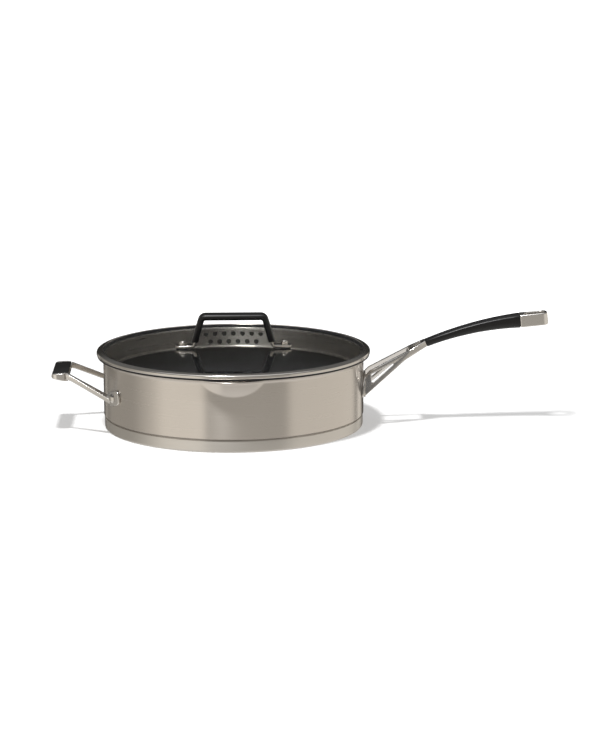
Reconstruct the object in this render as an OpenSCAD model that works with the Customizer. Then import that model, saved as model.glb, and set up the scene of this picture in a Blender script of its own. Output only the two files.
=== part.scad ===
// Saute pan with a straining lid.
// Millimetres, +Z up. The origin is the middle of the pan's underside, the long
// handle points along +X and the two pouring spouts face -Y and +Y.

/* [Pan] */
// Outer diameter of the pan's wall
pan_d = 280; // [220:1:320]
// Height from the table to the top of the pan's lip
pan_h = 77; // [72:1:110]
// Thickness of the pan's steel
wall_t = 1; // [0.8:0.1:1.6]
// Outer radius of the bend between floor and wall
floor_bend = 6; // [4:0.5:6]
// Radius of the bend that turns the lip outwards
lip_bend_r = 4; // [3:0.5:6]
// Width of the level edge past the lip's bend
lip_edge = 1; // [0.5:0.25:3]

/* [Pouring spouts] */
// Width of a spout at the height of the lip
spout_w = 86; // [70:1:100]
// How far a spout bulges past the wall at the height of the lip
spout_out = 6; // [4:0.5:9]
// How far a spout reaches down the wall
spout_drop = 18; // [14:1:24]

/* [Base] */
// Height of the base cap from the table to its upper edge
base_h = 12.3; // [12:0.1:14]
// Thickness of the base cap's steel
cap_t = 0.8; // [0.6:0.1:1.2]
// Thickness of the aluminium disc in the base
core_t = 5.2; // [3.5:0.1:5.5]
// Width of the shadow groove between the base cap and the wall
groove_w = 0.6; // [0.4:0.1:1.2]
// Outer radius of the base cap's lower corner
cap_bend = 2.5; // [1.5:0.5:4]

/* [Lid rim and strainer] */
// How far the lid's rim reaches past the pan's lip
rim_over = 2; // [1:0.5:4]
// Thickness of the rim's steel
rim_t = 0.8; // [0.6:0.1:1]
// Height of the rim's channel, outside
rim_h = 5; // [5:0.1:6.5]
// Width of the rim's upper flange
rim_w = 7; // [6:0.5:12]
// How far the straining skirt hangs below the pan's lip
skirt_h = 21; // [20:0.5:26]
// Gap between the straining skirt and the pan's wall
skirt_gap = 1.1; // [0.8:0.1:2]
// Diameter of a straining hole
hole_d = 5.6; // [3:0.1:6]
// Spacing of the straining holes along a row
hole_pitch = 10.4; // [8:0.1:14]
// Depth of the upper row of holes below the pan's lip
row_drop = 6; // [5:0.5:7]
// Height between the two rows of holes
row_step = 9; // [7:0.5:9]
// Holes in the upper row, with one fewer in the lower row
hole_count = 7; // [3:1:9]

/* [Lid glass] */
// Thickness of the tempered glass
glass_t = 3; // [2.6:0.1:3.2]
// How far the glass rises from its edge to its middle
glass_rise = 2.3; // [1:0.1:8]
// Diameter of the silicone seal round the glass
seal_d = 2; // [1.6:0.1:2.4]
// Clearance on either side of the seal
seal_gap = 0.3; // [0.2:0.05:0.4]

/* [Lid handle] */
// Distance between the lid handle's two bolts
bolt_span = 109.4; // [104:0.2:130]
// Length of the handle's top bar, over its corners
bar_len = 72.6; // [64:0.2:80]
// Height of the top bar's upper side above the glass
bar_rise = 37; // [30:0.5:55]
// Distance between the outsides of the sleeve's lower ends
leg_span = 86.5; // [80:0.5:94]
// Height of the sleeve's lower ends above the glass
sleeve_lift = 8; // [6.5:0.5:14]
// Width and thickness of the steel strap
strap = [16, 3]; // [1.5:0.1:20]
// Thickness of the sleeve's skin round the strap
sleeve_skin = 1.2; // [1:0.1:3]
// Radius of the sleeve's rounded edges
sleeve_edge = 2; // [0.5:0.1:2.5]
// Radius of the strap's bends
strap_bend = 5; // [4.5:0.5:8]
// Diameter of the bolts' threads
bolt_d = 4; // [3:0.5:5]
// Diameter and height of the bolts' domed heads
bolt_head = [7.5, 4.6]; // [4:0.1:12]
// Diameter and thickness of the gaskets and washers under the handle's feet
gasket = [14, 0.8]; // [0.8:0.1:16]
// Width over the flats and height of the nuts under the glass
nut = [7, 3.2]; // [2.5:0.1:10]

/* [Helper handle] */
// How far the helper handle reaches past the wall
helper_reach = 54.5; // [46:0.5:70]
// Width of the helper handle over its bar
helper_w = 71; // [66:1:90]
// Distance between the middles of its two arms at the wall
arm_span = 108; // [98:1:112]
// Width of an arm at the wall and at the bar
arm_w = [10, 4.5]; // [4:0.5:14]
// Height of an arm at the wall and at the bar
arm_h = [5.5, 7.5]; // [4:0.5:9]
// Angle by which the arms lean
arm_lean = 16; // [0:1:18]
// Depth of the bar from front to back
bar_depth = 18; // [14:0.5:22]
// Height of the bar at its inner side and at its rounded nose
bar_h = [10, 6]; // [4:0.5:13]
// How far the bar's top stands above the rivets
bar_top = 22; // [16:0.5:30]
// Length of the black pad let into the bar
pad_len = 62; // [50:1:64]
// Depth of the pad's seat in the bar
pad_depth = 3; // [2:0.5:4]
// Depth of the helper handle's rivets below the pan's lip
helper_drop = 35; // [34:0.5:37]
// Angle from the handle's middle to each rivet
helper_rivet_a = 25.5; // [24:0.5:28]
// Length and height of a riveted foot
foot = [29, 15.5]; // [13:0.5:40]
// Angle by which the feet rise away from the handle's middle
foot_tilt = 12; // [0:1:16]
// Radius of the feet's rounded corners
foot_r = 5; // [2:0.5:7]

/* [Long handle] */
// Length of the steel fork from the wall to the grip
fork_len = 67.5; // [54:1:90]
// Width over the upper edges of the fork's arms
fork_w = 26; // [24:1:32]
// Angle by which the fork's arms lean against each other
fork_lean = 24; // [14:1:26]
// Thickness of each fork arm
arm_t = 3; // [2.5:0.5:4.5]
// Height of the fork's arms at the wall
fork_h = 23.5; // [21:0.5:25]
// Depth of the arms' upper edge at the wall below the pan's lip
fork_drop = 20.5; // [20:0.5:22]
// How far the neck's middle stands above the middle of the arms at the wall
neck_rise = 43.25; // [36:0.25:48]
// Width and height of the neck where it meets the grip
neck = [14, 6.5]; // [6:0.5:16]
// Place of the knee in the fork's lower edge, out from the wall and up from its root
knee_at = [44, 38.5]; // [30:0.5:52]
// Length of the solid neck
neck_len = 18.5; // [12:0.5:24]
// Width of the flange on the wall at its top and at its foot
flange_w = [18, 62]; // [14:1:70]
// Height of steel above each arm's window
rail_top = 4; // [3:0.2:7]
// Height of steel below each arm's window
rail_low = 6.4; // [5:0.2:9]
// Distance from the wall to the window's ends
window_x = [7.5, 31.5]; // [6:0.5:34]
// Rise angle of the grip at its front end
grip_a0 = 22; // [16:0.5:28]
// Rise angle of the grip at its back end
grip_a1 = 5.5; // [2:0.5:10]
// Length of the grip along its curve
grip_len = 104; // [80:0.5:130]
// Height of the grip above its curve, at its front and at its back
grip_up = [3.7, 6.7]; // [3.4:0.1:10]
// Depth of the grip below its curve, at its front and at its back
grip_down = [4.3, 8.7]; // [4:0.1:12]
// Width of the grip at its front and at its back
grip_w = [15, 20]; // [13:0.5:26]
// Width and height of the steel tang inside the grip
tang = [8, 5.5]; // [5:0.5:9]
// Length of the steel loop behind the grip
loop_len = 30.5; // [24:0.5:45]
// Width and height of the steel loop
loop = [20, 13.6]; // [10:0.1:26]
// How far the loop's middle lies below the grip's curve
loop_drop = 0.9; // [0:0.1:1.5]
// Thickness of the steel loop's walls
loop_t = 3; // [2:0.5:4]
// Diameter of the screw that holds loop and grip to the tang
screw_d = 3; // [2.5:0.5:3.5]

/* [Rivets] */
// Diameter of the rivets' shanks
rivet_d = 5; // [4:0.5:6]
// Diameter and height of the rivets' domed heads
rivet_head = [10.4, 3]; // [2:0.1:12]
// Thickness of the riveted feet and of the fork's flange
foot_t = 2.5; // [2:0.25:4]

/* [Hidden] */
$fn = 96;
fit = 0.05;        // clearance round a shank, a tang or a pad in its seat
rest_gap = 0.3;    // clearance under the lid's rim, where it rests on the pan's lip
seat = 0.02;       // clearance under a flat part that lies on the domed glass
bend_steps = 6;    // flat strips along a quarter bend

R = pan_d / 2;
r_in = R - wall_t;
r_lip = R + lip_bend_r + lip_edge;
z_core = cap_t + core_t;             // top of the aluminium disc, under the pan's floor
z_floor = z_core + wall_t;           // the cooking surface
z_step = base_h + groove_w;          // where the wall steps out over the base cap
r_cap = R - cap_t;                   // outer radius of the base cap
r_low = r_cap - cap_t - 0.2;         // outer radius of the wall inside the cap
z_bend = pan_h - wall_t - lip_bend_r;  // where the lip's bend leaves the wall

// Flat outlines: points [x, y], paths with rounded corners, and bands along a path

function unit(v) = v / norm(v);
function turned(v, a) = [v[0] * cos(a) - v[1] * sin(a), v[0] * sin(a) + v[1] * cos(a)];
function is_left(p, q) = p[0] * q[1] - p[1] * q[0] > 0;

// The arc that rounds the corner b between a and c
function corner(a, b, c, r, steps) =
    let (p = unit(a - b), q = unit(c - b), half = acos(p * q) / 2,
         middle = b + unit(p + q) * r / sin(half),
         first = b + p * r / tan(half) - middle,
         sweep = (180 - 2 * half) * (is_left(p, q) ? -1 : 1))
    [for (i = [0:steps]) middle + turned(first, sweep * i / steps)];

// A path with a radius for each of its points, 0 where it stays sharp
function rounded(path, radii, steps = bend_steps) =
    let (n = len(path))
    [for (i = [0:n - 1])
        each radii[i] == 0 ? [path[i]]
             : corner(path[(i + n - 1) % n], path[i], path[(i + 1) % n], radii[i], steps)];

function reversed(list) = [for (i = [len(list) - 1:-1:0]) list[i]];
function normal_at(path, i) =
    let (a = i == 0 ? unit(path[1] - path[0]) : unit(path[i] - path[i - 1]),
         b = i == len(path) - 1 ? a : unit(path[i + 1] - path[i]))
    turned(a + b, 90) / (1 + a * b);
function shifted(path, d) = [for (i = [0:len(path) - 1]) path[i] + normal_at(path, i) * d];
function band(path, t) = concat(shifted(path, t / 2), reversed(shifted(path, -t / 2)));

// A solid with one outline from the side, drawn in X and Z, and the width w along Y
module side_plate(outline, w) {
    rotate([90, 0, 0]) linear_extrude(w, center = true) polygon(outline);
}

module rounded_rect(size, r) {
    square([size[0] - 2 * r, size[1]], center = true);
    square([size[0], size[1] - 2 * r], center = true);
    for (x = [-1, 1], y = [-1, 1])
        translate([x * (size[0] / 2 - r), y * (size[1] / 2 - r)]) circle(r);
}

// A hollow bar: rings of points along its outer skin and, with as many points, its inner
module tube(outer, inner) {
    last = len(outer) - 1;
    n = len(outer[0]);
    skin = (last + 1) * n;   // the first point of the inner skin
    strip = function (a, b, c, d) [[a, b, c], [a, c, d]];
    faces = [for (j = [0:n - 1]) let (k = (j + 1) % n) each concat(
        [for (i = [0:last - 1]) let (a = i * n, b = a + n)
            each concat(strip(a + j, a + k, b + k, b + j),
                        strip(skin + a + j, skin + b + j, skin + b + k, skin + a + k))],
        strip(j, skin + j, skin + k, k),
        strip(last * n + j, last * n + k, skin + last * n + k, skin + last * n + j))];
    polyhedron([each each outer, each each inner], faces);
}

// A ring of a bar's section, whose points are [across, along Y], set at a point of a path
// in X and Z
function ring_at(section, middle, normal) =
    [for (p = section) [middle[0] + p[0] * normal[0], p[1], middle[1] + p[0] * normal[1]]];

function rect_points(size, r) =
    let (x = size[0] / 2, y = size[1] / 2)
    rounded([[-x, -y], [-x, y], [x, y], [x, -y]], [r, r, r, r], 3);

// The arc of a domed head, from its edge at radius r and height z to its middle
function dome_arc(r, h, z) =
    let (ball = (r * r + h * h) / (2 * h), a = atan2(r, ball - h), steps = 8)
    [for (i = [0:steps]) let (t = a * (1 - i / steps))
        [i == steps ? 0 : ball * sin(t), z + h - ball + ball * cos(t)]];

// Places what is built along +Z so that it points outwards at an angle round the pan
module outwards(angle, r, z) {
    rotate([0, 0, angle]) translate([r, 0, z]) rotate([0, 90, 0]) children();
}

// A curved plate on the pan's wall, with its outline [along, up] about the height z. It
// reaches into the wall, to be cut back with its casting.
module wall_plate(angle, z, outline, tilt = 0) intersection() {
    translate([0, 0, z - pan_h / 2]) cylinder(r = R + foot_t, h = pan_h);
    outwards(angle, R - 12, z) linear_extrude(20)
        polygon([for (p = outline) let (q = turned(p, tilt)) [-q[1], q[0]]]);
}

// A rivet through foot and wall: domed head outside, low conical head inside. The inner
// head stands off the hollow wall by the wall's own curve behind it.
rivet_inner_d = rivet_head[0] + 2;
rivet_inner_h = 1.6;
rivet_hollow = r_in - sqrt(r_in * r_in - pow(rivet_inner_d / 2, 2)) + 0.02;
module rivet(angle, z) {
    inner = r_in - rivet_hollow;
    outside = R + foot_t - inner;
    outwards(angle, inner, z) rotate_extrude()
        polygon(concat([[0, -rivet_inner_h], [rivet_d / 2 + 1, -rivet_inner_h], [rivet_inner_d / 2, 0],
                        [rivet_d / 2, 0], [rivet_d / 2, outside]],
                       dome_arc(rivet_head[0] / 2, rivet_head[1], outside)));
}

module rivet_hole(angle, z) {
    outwards(angle, r_in - 3, z) cylinder(d = rivet_d + 2 * fit, h = wall_t + foot_t + 6);
}

// Pan

// The lip's bend: it leaves a wall of radius r at the angle a from upright and ends level
function lip_arc(r, bend, a = 0) =
    [for (i = [0:bend_steps]) let (t = a + (90 - a) * i / bend_steps)
        [r + bend * (cos(a) - cos(t)), z_bend + bend * sin(t)]];

// A spout is part of a ball whose middle lies above the lip. At the lip's height the ball
// has the radius ball_lip, and on the wall it reaches down by spout_drop.
spout_reach = R + spout_out - sqrt(R * R - spout_w * spout_w / 4);
ball_lip = (spout_w * spout_w / 4 + spout_reach * spout_reach) / (2 * spout_reach);
ball_lift = (2 * ball_lip * spout_out - spout_out * spout_out - spout_drop * spout_drop)
            / (2 * spout_drop);
ball_z = pan_h + ball_lift;
ball_r = norm([ball_lip, ball_lift]);
ball_lean = asin((ball_z - z_bend) / ball_r);

// Outline of the ball from just below the spout up to the end of the lip's bend
function spout_arc(r, bend) =
    let (low = pan_h - spout_drop - 3, high = z_bend + bend * sin(ball_lean),
         radius = function (z) sqrt(r * r - pow(ball_z - z, 2)))
    concat([[0, low]],
           [for (i = [0:bend_steps - 1]) let (z = low + (high - low) * i / bend_steps)
               [radius(z), z]],
           lip_arc(radius(high), bend, ball_lean));

// A hollow runs on upwards past the lip, a body ends in the lip's level edge
function lip_end(arc, edge, top) =
    let (r = arc[len(arc) - 1][0] + edge)
    concat(arc, edge == 0 ? [[r, top], [0, top]] : [[r, pan_h - wall_t], [r, top], [0, top]]);

module at_spouts() {
    for (side = [-90, 90]) rotate([0, 0, side]) translate([R + spout_out - ball_lip, 0, 0])
        children();
}

// The wall's lower part: floor, bend, and the step out over the base cap
function wall_foot(r0, r1, z0, bend, step) =
    rounded([[0, z0], [r0, z0], [r0, step], [r1, step + r1 - r0]], [0, bend, 0, 0]);

module pan_body() color("silver") difference() {
    step_in = z_step + wall_t / 2;
    hollow = lip_bend_r + wall_t;
    union() {
        rotate_extrude() polygon(lip_end(concat(wall_foot(r_low, R, z_core, floor_bend, z_step),
                                                lip_arc(R, lip_bend_r)), lip_edge, pan_h));
        at_spouts() rotate_extrude()
            polygon(lip_end(spout_arc(ball_r, lip_bend_r), lip_edge, pan_h));
    }
    rotate_extrude() polygon(lip_end(concat(wall_foot(r_low - wall_t, r_in, z_floor,
        floor_bend - wall_t, step_in), lip_arc(r_in, hollow)), 0, pan_h + 2));
    at_spouts() rotate_extrude() polygon(lip_end(spout_arc(ball_r - wall_t, hollow), 0, pan_h + 2));
    for (side = [-1, 1]) {
        rivet_hole(side * fork_rivet_a, z_fork_mid);
        rivet_hole(180 + side * helper_rivet_a, z_helper);
    }
}

module base_core() color("lightgray") {
    r_top = r_low - floor_bend;
    r_foot = r_cap - cap_bend;
    rotate_extrude() polygon([[0, cap_t], [r_foot, cap_t], [r_foot, z_core - 2],
                              [r_top, z_core], [0, z_core]]);
}

module base_cap() color("silver") {
    mid = cap_t / 2;
    path = rounded([[0, mid], [r_cap - mid, mid], [r_cap - mid, base_h]], [0, cap_bend - mid, 0]);
    rotate_extrude() polygon(band(path, cap_t));
}

// Long handle: a cast fork whose two arms lean against each other, meet in a neck and run
// on as a tang inside the grip

z_fork_top = pan_h - fork_drop;
z_fork_low = z_fork_top - fork_h;
z_fork_mid = (z_fork_top + z_fork_low) / 2;
fork_rivet_a = asin(fork_w * 0.3 / R);
neck_at = [R + fork_len, z_fork_mid + neck_rise];  // middle of the grip's front end, in X and Z
grip_r = grip_len / (grip_a0 - grip_a1) * 180 / PI;

// A point of the grip's curve, t from 0 at its front to 1 at its back, raised by v
function along_grip(t, v = 0) =
    let (a = grip_a0 + (grip_a1 - grip_a0) * t)
    neck_at + grip_r * [sin(grip_a0) - sin(a), cos(a) - cos(grip_a0)] + v * [-sin(a), cos(a)];

grip_steps = 16;
function mixed(pair, t) = pair[0] + (pair[1] - pair[0]) * t;

cast_in = 12;  // a casting is drawn this far into the pan and cut back to its wall
neck_top = along_grip(0, neck[1] / 2);
neck_low = along_grip(0, -neck[1] / 2);
knee = [R, z_fork_low] + knee_at;
arm_slope = (neck_top[1] - z_fork_top) / (neck_top[0] - R);
knee_slope = knee_at[1] / knee_at[0];
function fork_top(x) = z_fork_top + arm_slope * x;
function fork_low(x) = z_fork_low + knee_slope * x;

// The fork from the side: its upper edge starts a little low at the wall
fork_outline = rounded([[R - cast_in, fork_top(-4)], [R + 1, fork_top(-4)], [R + 6, fork_top(6)],
                        neck_top, neck_low, knee, [R - cast_in, fork_low(-cast_in)]],
                       [0, 2, 4, 0, 0, 40, 0]);

function fork_window() =
    let (top = [for (x = window_x) [R + x, fork_top(x) - rail_top]],
         low = [for (x = window_x) [R + x, min(fork_low(x) + rail_low, fork_top(x) - rail_top - 2)]],
         far_r = (top[1][1] - low[1][1]) * 0.4)
    rounded(concat(top, reversed(low)), [2, far_r, far_r, 2]);

// A plate that leans about its arm's upper edge, to be cut to the fork's outlines. It is
// drawn upright, so its window is turned back to that edge and stretched for the lean.
module fork_arm() {
    rise = atan(arm_slope);
    upright = function (list) [for (p = list) let (q = turned(p - [R, z_fork_top], -rise))
        [q[0], q[1] / cos(fork_lean)]];
    translate([R, fork_w / 2, z_fork_top]) rotate([0, -rise, 0]) rotate([90 + fork_lean, 0, 0])
        linear_extrude(arm_t) difference() {
            square(4 * fork_len, center = true);
            polygon(upright(fork_window()));
        }
}

// The fork from above: it narrows from the wall to its neck
module fork_plan() {
    half = [[R - cast_in, flange_w[1] / 2 - 2], [R + fork_len - neck_len, fork_w / 2 + 1],
            [R + fork_len, neck[0] / 2], [R + fork_len + 10, neck[0] / 2]];
    linear_extrude(3 * pan_h) polygon(concat(half, [for (p = reversed(half)) [p[0], -p[1]]]));
}

module handle_fork() color("silver") difference() {
    union() {
        intersection() {
            union() {
                fork_arm();
                mirror([0, 1, 0]) fork_arm();
                translate([R + fork_len - neck_len, -fork_w, 0])
                    cube([2 * neck_len, 2 * fork_w, 3 * pan_h]);
            }
            fork_plan();
            side_plate(fork_outline, 2 * flange_w[1]);
        }
        side_plate(band([for (i = [-1:grip_steps]) along_grip(i / grip_steps)], tang[1]), tang[0]);
        flange = [[flange_w[0] / 2, fork_h / 2 - 0.5], [flange_w[1] * 0.4, fork_h * 0.15],
                  [flange_w[1] / 2, -fork_h / 2 + 0.5]];
        wall_plate(0, z_fork_mid, rounded(concat([for (p = flange) [-p[0], p[1]]], reversed(flange)),
                                          [4, 14, 3, 3, 14, 4]));
    }
    cylinder(r = R, h = 2 * pan_h);
    for (side = [-1, 1]) rivet_hole(side * fork_rivet_a, z_fork_mid);
    at_loop() rotate([0, -90, 0]) cylinder(d = screw_d + 2 * fit, h = screw_grip + 1);
}

module fork_rivets() color("gainsboro") for (side = [-1, 1])
    rivet(side * fork_rivet_a, z_fork_mid);

// The grip is a tube along the curve. Half of its section is drawn, from the crown down to
// the underside, in shares of its height and width; the fourth point is the side's crease.
GRIP_HALF = [[0.5, 0], [0.48, 0.28], [0.38, 0.46], [0.24, 0.5], [-0.1, 0.49], [-0.36, 0.42],
             [-0.49, 0.24]];
TANG_HALF = [[0.5, 0], [0.5, 0.3], [0.5, 0.5], [0.2, 0.5], [-0.1, 0.5], [-0.5, 0.5],
             [-0.5, 0.3]];
function whole(half) = concat(half, [[-0.5, 0]],
    [for (i = [len(half) - 1:-1:1]) [half[i][0], -half[i][1]]]);
grip_swell = 1.4;   // above 1 the grip thickens more towards its back
function grip_rings(half, up, down, widths) =
    [for (i = [0:grip_steps])
        let (t = i / grip_steps, swell = pow(t, grip_swell),
             w = mixed(widths, t), a = mixed([grip_a0, grip_a1], t))
        ring_at([for (p = whole(half)) [2 * p[0] * mixed(p[0] > 0 ? up : down, swell), p[1] * w]],
                along_grip(t), [-sin(a), cos(a)])];

module handle_grip() color("#18181b") {
    half_h = [1, 1] * (tang[1] / 2 + fit);
    tube(grip_rings(GRIP_HALF, grip_up, grip_down, grip_w),
         grip_rings(TANG_HALF, half_h, half_h, [1, 1] * (tang[0] + 2 * fit)));
}

// Behind the grip a steel loop is screwed to the tang's end; its slot hangs the pan up
screw_grip = 14;
screw_head_h = 2;
block = 6;   // thickness of the loop's front end
module at_loop() {
    end = along_grip(1);
    translate([end[0], 0, end[1]]) rotate([0, -grip_a1, 0]) children();
}

module handle_loop() color("silver") at_loop() difference() {
    translate([loop_len / 2, 0, -loop_drop]) linear_extrude(loop[1], center = true) difference() {
        intersection() {
            translate([-loop[0], 0]) rounded_rect([loop_len + 2 * loop[0], loop[0]], loop[0] * 0.35);
            square([loop_len, loop[0]], center = true);
        }
        translate([(block - loop_t) / 2, 0])
            rounded_rect([loop_len - block - loop_t, loop[0] - 2 * loop_t], loop[0] * 0.25);
    }
    translate([-1, 0, 0]) rotate([0, 90, 0]) cylinder(d = screw_d + 2 * fit, h = block + 2);
}

module loop_screw() color("gray") at_loop() translate([block, 0, 0]) rotate([0, 90, 0])
    rotate_extrude() polygon([[0, -block - screw_grip], [screw_d / 2, -block - screw_grip],
        [screw_d / 2, 0], [screw_d, 0], [screw_d, screw_head_h], [0, screw_head_h]]);

// Helper handle: two riveted feet, two leaning arms and a bar with a black pad on top

z_helper = pan_h - helper_drop;
arm_low = 1.5;   // the arms meet the wall this far below the rivets' height
arm_step = 0.7;  // and they lie this far below the bar's top
arm_run = helper_reach - bar_depth;
arm_dip = R - sqrt(R * R - arm_span * arm_span / 4);  // how far the wall has fallen back there

// Arm and bar from the side, as high as h where they meet
function helper_outline(h) =
    let (low = -arm_low - arm_h[0], inside = -arm_dip - cast_in,
         path = [[inside, -arm_low], [-arm_dip, -arm_low], [arm_run, bar_top],
                 [helper_reach, bar_top - 1], [helper_reach - 1, bar_top - bar_h[1]],
                 [arm_run - 2, bar_top - h], [-arm_dip, low], [inside, low]])
    [for (p = rounded(path, [0, 5, 12, 2.5, 2.5, 24, 8, 0])) p + [R, z_helper]];

// An arm leans about its own length. It is drawn upright, so its outline is turned back.
module helper_arm() {
    y0 = arm_span / 2;
    run = function (x) (x + arm_dip) / (arm_run + arm_dip);
    inwards = function (x) (y0 - helper_w / 2 + arm_w[1] / 2) * run(x);
    mid = function (x) inwards(x) * cos(arm_lean) + bar_top * sin(arm_lean) * run(x);
    half = function (x) mixed(arm_w, run(x)) / 2;
    ends = [-arm_dip - cast_in, arm_run + 4];
    edge = function (side) [for (x = ends) [R + x, mid(x) + side * half(x)]];
    outline = [for (p = helper_outline(arm_h[1]))
        [p[0], z_helper + (p[1] - arm_step - z_helper) * cos(arm_lean)
               - inwards(p[0] - R) * sin(arm_lean)]];
    translate([0, -y0, z_helper]) rotate([arm_lean, 0, 0]) translate([0, 0, -z_helper])
        intersection() {
            side_plate(outline, 2 * helper_w);
            linear_extrude(2 * pan_h) polygon(concat(edge(-1), reversed(edge(1))));
        }
}

module helper_bar() {
    bar_corner = 7;
    intersection() {
        side_plate(helper_outline(bar_h[0]), helper_w);
        translate([R + helper_reach - bar_depth / 2, 0, 0]) linear_extrude(2 * pan_h)
            rounded_rect([bar_depth, helper_w], bar_corner);
    }
}

// The pad's seat is what lies above the bar's own outline when that is lowered
module pad_seat(clear) difference() {
    translate([R + helper_reach - bar_depth, clear - pad_len / 2, z_helper])
        cube([bar_depth + cast_in, pad_len - 2 * clear, bar_top + cast_in]);
    translate([0, 0, clear - pad_depth]) side_plate(helper_outline(bar_h[0]), helper_w);
}

module helper_handle() color("silver") rotate([0, 0, 180]) difference() {
    union() {
        helper_bar();
        helper_arm();
        mirror([0, 1, 0]) helper_arm();
        for (side = [-1, 1])
            wall_plate(side * helper_rivet_a, z_helper, rect_points(foot, foot_r), side * foot_tilt);
    }
    cylinder(r = R, h = 2 * pan_h);
    pad_seat(0);
    for (side = [-1, 1]) rivet_hole(side * helper_rivet_a, z_helper);
}

module helper_pad() color("#18181b") rotate([0, 0, 180]) intersection() {
    pad_seat(fit);
    side_plate(helper_outline(bar_h[0]), pad_len);
}

module helper_rivets() color("gainsboro") for (side = [-1, 1])
    rivet(180 + side * helper_rivet_a, z_helper);

// Lid: a rolled rim that holds the glass and hangs down into the pan as a strainer

z_rim = pan_h + rest_gap;
r_rim = r_lip + rim_over;
r_skirt = r_in - skirt_gap;
r_glass = r_rim - rim_t - 2 * seal_gap - seal_d;
z_glass = z_rim + rim_t + (rim_h - 2 * rim_t - glass_t) / 2;   // underside of the glass's edge

// Height of the glass's upper side at the distance r from its middle
function glass_top(r) = z_glass + glass_t + glass_rise * (1 - r * r / (r_glass * r_glass));

module lid_rim() color("silver") difference() {
    mid = rim_t / 2;
    path = rounded([[r_rim - rim_w, z_rim + rim_h - mid], [r_rim - mid, z_rim + rim_h - mid],
                    [r_rim - mid, z_rim + mid], [r_skirt - mid, z_rim + mid],
                    [r_skirt - mid, pan_h - skirt_h]], [0, 2, 1.4, 1, 0]);
    rotate_extrude() polygon(band(path, rim_t));
    step = hole_pitch / r_skirt * 180 / PI;
    for (side = [-90, 90], row = [0, 1], i = [0:hole_count - 1 - row])
        outwards(side + (i - (hole_count - 1 - row) / 2) * step, r_skirt - 4,
                 pan_h - row_drop - row * row_step)
            cylinder(d = hole_d, h = 6, $fn = 32);
}

module lid_seal() color("#202022") {
    rotate_extrude() translate([r_glass + seal_gap + seal_d / 2, z_rim + rim_h / 2])
        circle(d = seal_d, $fn = 32);
}

module lid_glass() color([0.6, 0.65, 0.65, 0.35]) difference() {
    steps = 12;
    arc = [for (i = [0:steps]) let (r = r_glass * i / steps) [r, glass_top(r)]];
    rotate_extrude() polygon(concat(arc, reversed([for (p = arc) p - [0, glass_t]])));
    at_bolts() cylinder(d = bolt_d + 4, h = 2 * pan_h);
}

// Lid handle: a steel strap bent over the glass, in a black sleeve

z_foot = glass_top(bolt_span / 2 - gasket[0] / 2) + seat;             // under the upper gasket
z_under = glass_top(bolt_span / 2 + gasket[0] / 2) - glass_t - seat;  // over the lower gasket
z_strap = z_foot + gasket[1] + strap[1] / 2;                          // middle of the feet
sleeve_t = strap[1] + 2 * sleeve_skin;
z_bar = glass_top(0) + bar_rise - sleeve_t / 2;
z_sleeve = glass_top(0) + sleeve_lift;
leg_lean = (leg_span - bar_len) / 2 / (z_bar - z_sleeve);
leg_low = [(leg_span - sleeve_t) / 2, z_sleeve];
bar_end = [(bar_len - sleeve_t) / 2, z_bar];
leg_foot = [leg_low[0] + leg_lean * (z_sleeve - z_strap), z_strap];

module at_bolts() {
    for (side = [-1, 1]) translate([side * bolt_span / 2, 0, 0]) children();
}
function both_sides(half) = concat([for (p = half) [-p[0], p[1]]], reversed(half));

module handle_strap() color("silver") difference() {
    path = rounded(both_sides([[bolt_span / 2 + strap[0], z_strap], leg_foot, bar_end]),
                   [0, strap_bend, strap_bend, strap_bend, strap_bend, 0]);
    intersection() {
        side_plate(band(path, strap[1]), strap[0]);
        linear_extrude(3 * pan_h)
            rounded_rect([bolt_span + strap[0], strap[0] + 2], strap[0] / 2);
    }
    at_bolts() cylinder(d = bolt_d + 2 * fit, h = 3 * pan_h);
}

module handle_sleeve() color("#18181b") {
    path = rounded(both_sides([leg_low, bar_end]), [0, strap_bend, strap_bend, 0]);
    rings = function (section)
        [for (i = [0:len(path) - 1]) ring_at(section, path[i], normal_at(path, i))];
    tube(rings(rect_points([sleeve_t, strap[0] + 2], sleeve_edge)),
         rings(rect_points([strap[1] + 2 * fit, strap[0] + 2 * fit], 0.1)));
}

washer_t = 1;
nut_top = z_under - gasket[1] - washer_t;

module lid_bolts() color("gainsboro") at_bolts() {
    top = z_strap + strap[1] / 2;
    crown = bolt_head[0] * 0.3;
    low = nut_top - nut[1] - 0.6;
    rotate_extrude() polygon(concat([[0, low], [bolt_d / 2, low], [bolt_d / 2, top],
        [bolt_head[0] / 2, top]],
        dome_arc(bolt_head[0] / 2, crown, top + bolt_head[1] - crown)));
}

// A gasket with a collar that centres the bolt in the glass's hole
module foot_gaskets() color("#202022") at_bolts() difference() {
    collar = glass_t * 0.8;
    union() {
        translate([0, 0, z_foot]) cylinder(d = gasket[0], h = gasket[1]);
        translate([0, 0, z_foot - collar])
            cylinder(d = bolt_d + 4 - 2 * fit, h = collar + gasket[1] / 2);
    }
    cylinder(d = bolt_d + 2 * fit, h = 2 * pan_h);
}

module ring(outer, inner, z, h) {
    translate([0, 0, z - h]) difference() {
        cylinder(d = outer, h = h);
        translate([0, 0, -1]) cylinder(d = inner, h = h + 2);
    }
}

module under_gaskets() color("#202022") at_bolts()
    ring(gasket[0], bolt_d + 2 * fit, z_under, gasket[1]);

module lid_washers() color("silver") at_bolts()
    ring(gasket[0] - 1, bolt_d + 2 * fit, z_under - gasket[1], washer_t);

module lid_nuts() color("silver") at_bolts() translate([0, 0, nut_top - nut[1]]) difference() {
    cylinder(d = nut[0] / cos(30), h = nut[1], $fn = 6);
    translate([0, 0, -1]) cylinder(d = bolt_d + 2 * fit, h = nut[1] + 2);
}

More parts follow.
